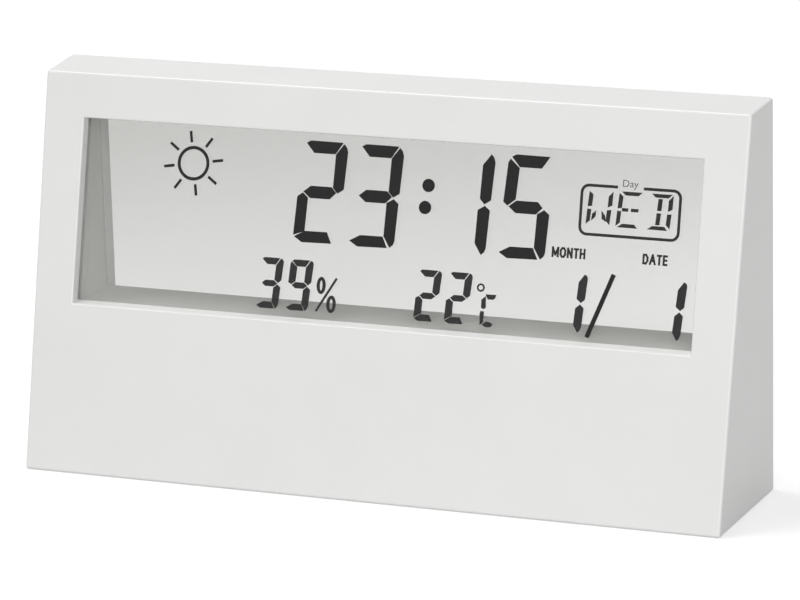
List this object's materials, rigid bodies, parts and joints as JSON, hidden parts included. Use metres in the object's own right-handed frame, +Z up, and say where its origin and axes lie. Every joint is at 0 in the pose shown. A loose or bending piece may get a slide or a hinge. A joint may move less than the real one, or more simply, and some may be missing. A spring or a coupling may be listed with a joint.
{
  "type": "thermometer hygrometer clock",
  "caption": "Free-standing see-through LCD clock with thermometer and hygrometer: white wedge case, rear battery door and a row of rear buttons",
  "frame": {"origin": "middle of the case's footprint on the surface that the clock stands on", "axes": "+X to the right as seen from the front, +Y from the front to the rear, +Z up"},
  "size_m": [0.13, 0.0279, 0.069],
  "materials": {
    "white_case": "fine matt",
    "white_frame": "fine matt",
    "button_white": "fine matt",
    "polariser": "clear film with a slight grey tint",
    "display_glass": "clear",
    "clear_pane": "clear, polished",
    "grey_rubber": "matt",
    "cell_jacket": "printed film",
    "nickel_plate": "nickel plated",
    "red_lead": "smooth",
    "black_lead": "smooth",
    "green_board": "solder resist",
    "black_epoxy": "smooth",
    "crystal_can": "drawn can",
    "grey_ribbon": "smooth",
    "sensor_case": "moulded",
    "brass": "rolled",
    "ceramic": "silvered",
    "screw_steel": "zinc plated",
    "black_plunger": "smooth"
  },
  "bodies": {
    "case": {"front_case": "white_case", "rear_case": "white_case", "display_frame": "white_frame", "front_polariser": "polariser", "rear_polariser": "polariser", "front_glass": "display_glass", "rear_glass": "display_glass", "rear_pane": "clear_pane", "contact_strip": "grey_rubber", "upper_cell": "cell_jacket", "lower_cell": "cell_jacket", "series_contact": "nickel_plate", "series_spring": "nickel_plate", "positive_contact": "nickel_plate", "negative_contact": "nickel_plate", "negative_spring": "nickel_plate", "positive_lead": "red_lead", "negative_lead": "black_lead", "main_board": "green_board", "button_board": "green_board", "chip_cover": "black_epoxy", "crystal": "crystal_can", "capacitors": "black_epoxy", "switch_bodies": "black_epoxy", "ribbon": "grey_ribbon", "humidity_sensor": "sensor_case", "thermistor": "black_epoxy", "sounder_plate": "brass", "sounder_ceramic": "ceramic", "sounder_leads": "red_lead", "case_screws": "screw_steel", "frame_screws": "screw_steel", "board_screws": "screw_steel"},
    "battery_door": {"battery_door": "white_case"},
    "set_button": {"set_button": "button_white", "set_plunger": "black_plunger"},
    "mode_button": {"mode_button": "button_white", "mode_plunger": "black_plunger"},
    "up_button": {"up_button": "button_white", "up_plunger": "black_plunger"},
    "down_button": {"down_button": "button_white", "down_plunger": "black_plunger"},
    "unit_button": {"unit_button": "button_white", "unit_plunger": "black_plunger"}
  },
  "joints": [
    {"name": "battery_door_hinge", "type": "hinge", "parent": "case", "child": "battery_door", "pos_m": [-0.0282, 0.0131, 0.004], "axis": [-1, 0, 0], "range_deg": [0, 75]},
    {"name": "set_press", "type": "slide", "parent": "case", "child": "set_button", "axis": [0, -1, 0], "range_m": [0, 0.0005], "stiffness_N_per_m": 2000, "springref_m": -0.0002},
    {"name": "mode_press", "type": "slide", "parent": "case", "child": "mode_button", "axis": [0, -1, 0], "range_m": [0, 0.0005], "stiffness_N_per_m": 2000, "springref_m": -0.0002},
    {"name": "up_press", "type": "slide", "parent": "case", "child": "up_button", "axis": [0, -1, 0], "range_m": [0, 0.0005], "stiffness_N_per_m": 2000, "springref_m": -0.0002},
    {"name": "down_press", "type": "slide", "parent": "case", "child": "down_button", "axis": [0, -1, 0], "range_m": [0, 0.0005], "stiffness_N_per_m": 2000, "springref_m": -0.0002},
    {"name": "unit_press", "type": "slide", "parent": "case", "child": "unit_button", "axis": [0, -1, 0], "range_m": [0, 0.0005], "stiffness_N_per_m": 2000, "springref_m": -0.0002}
  ]
}
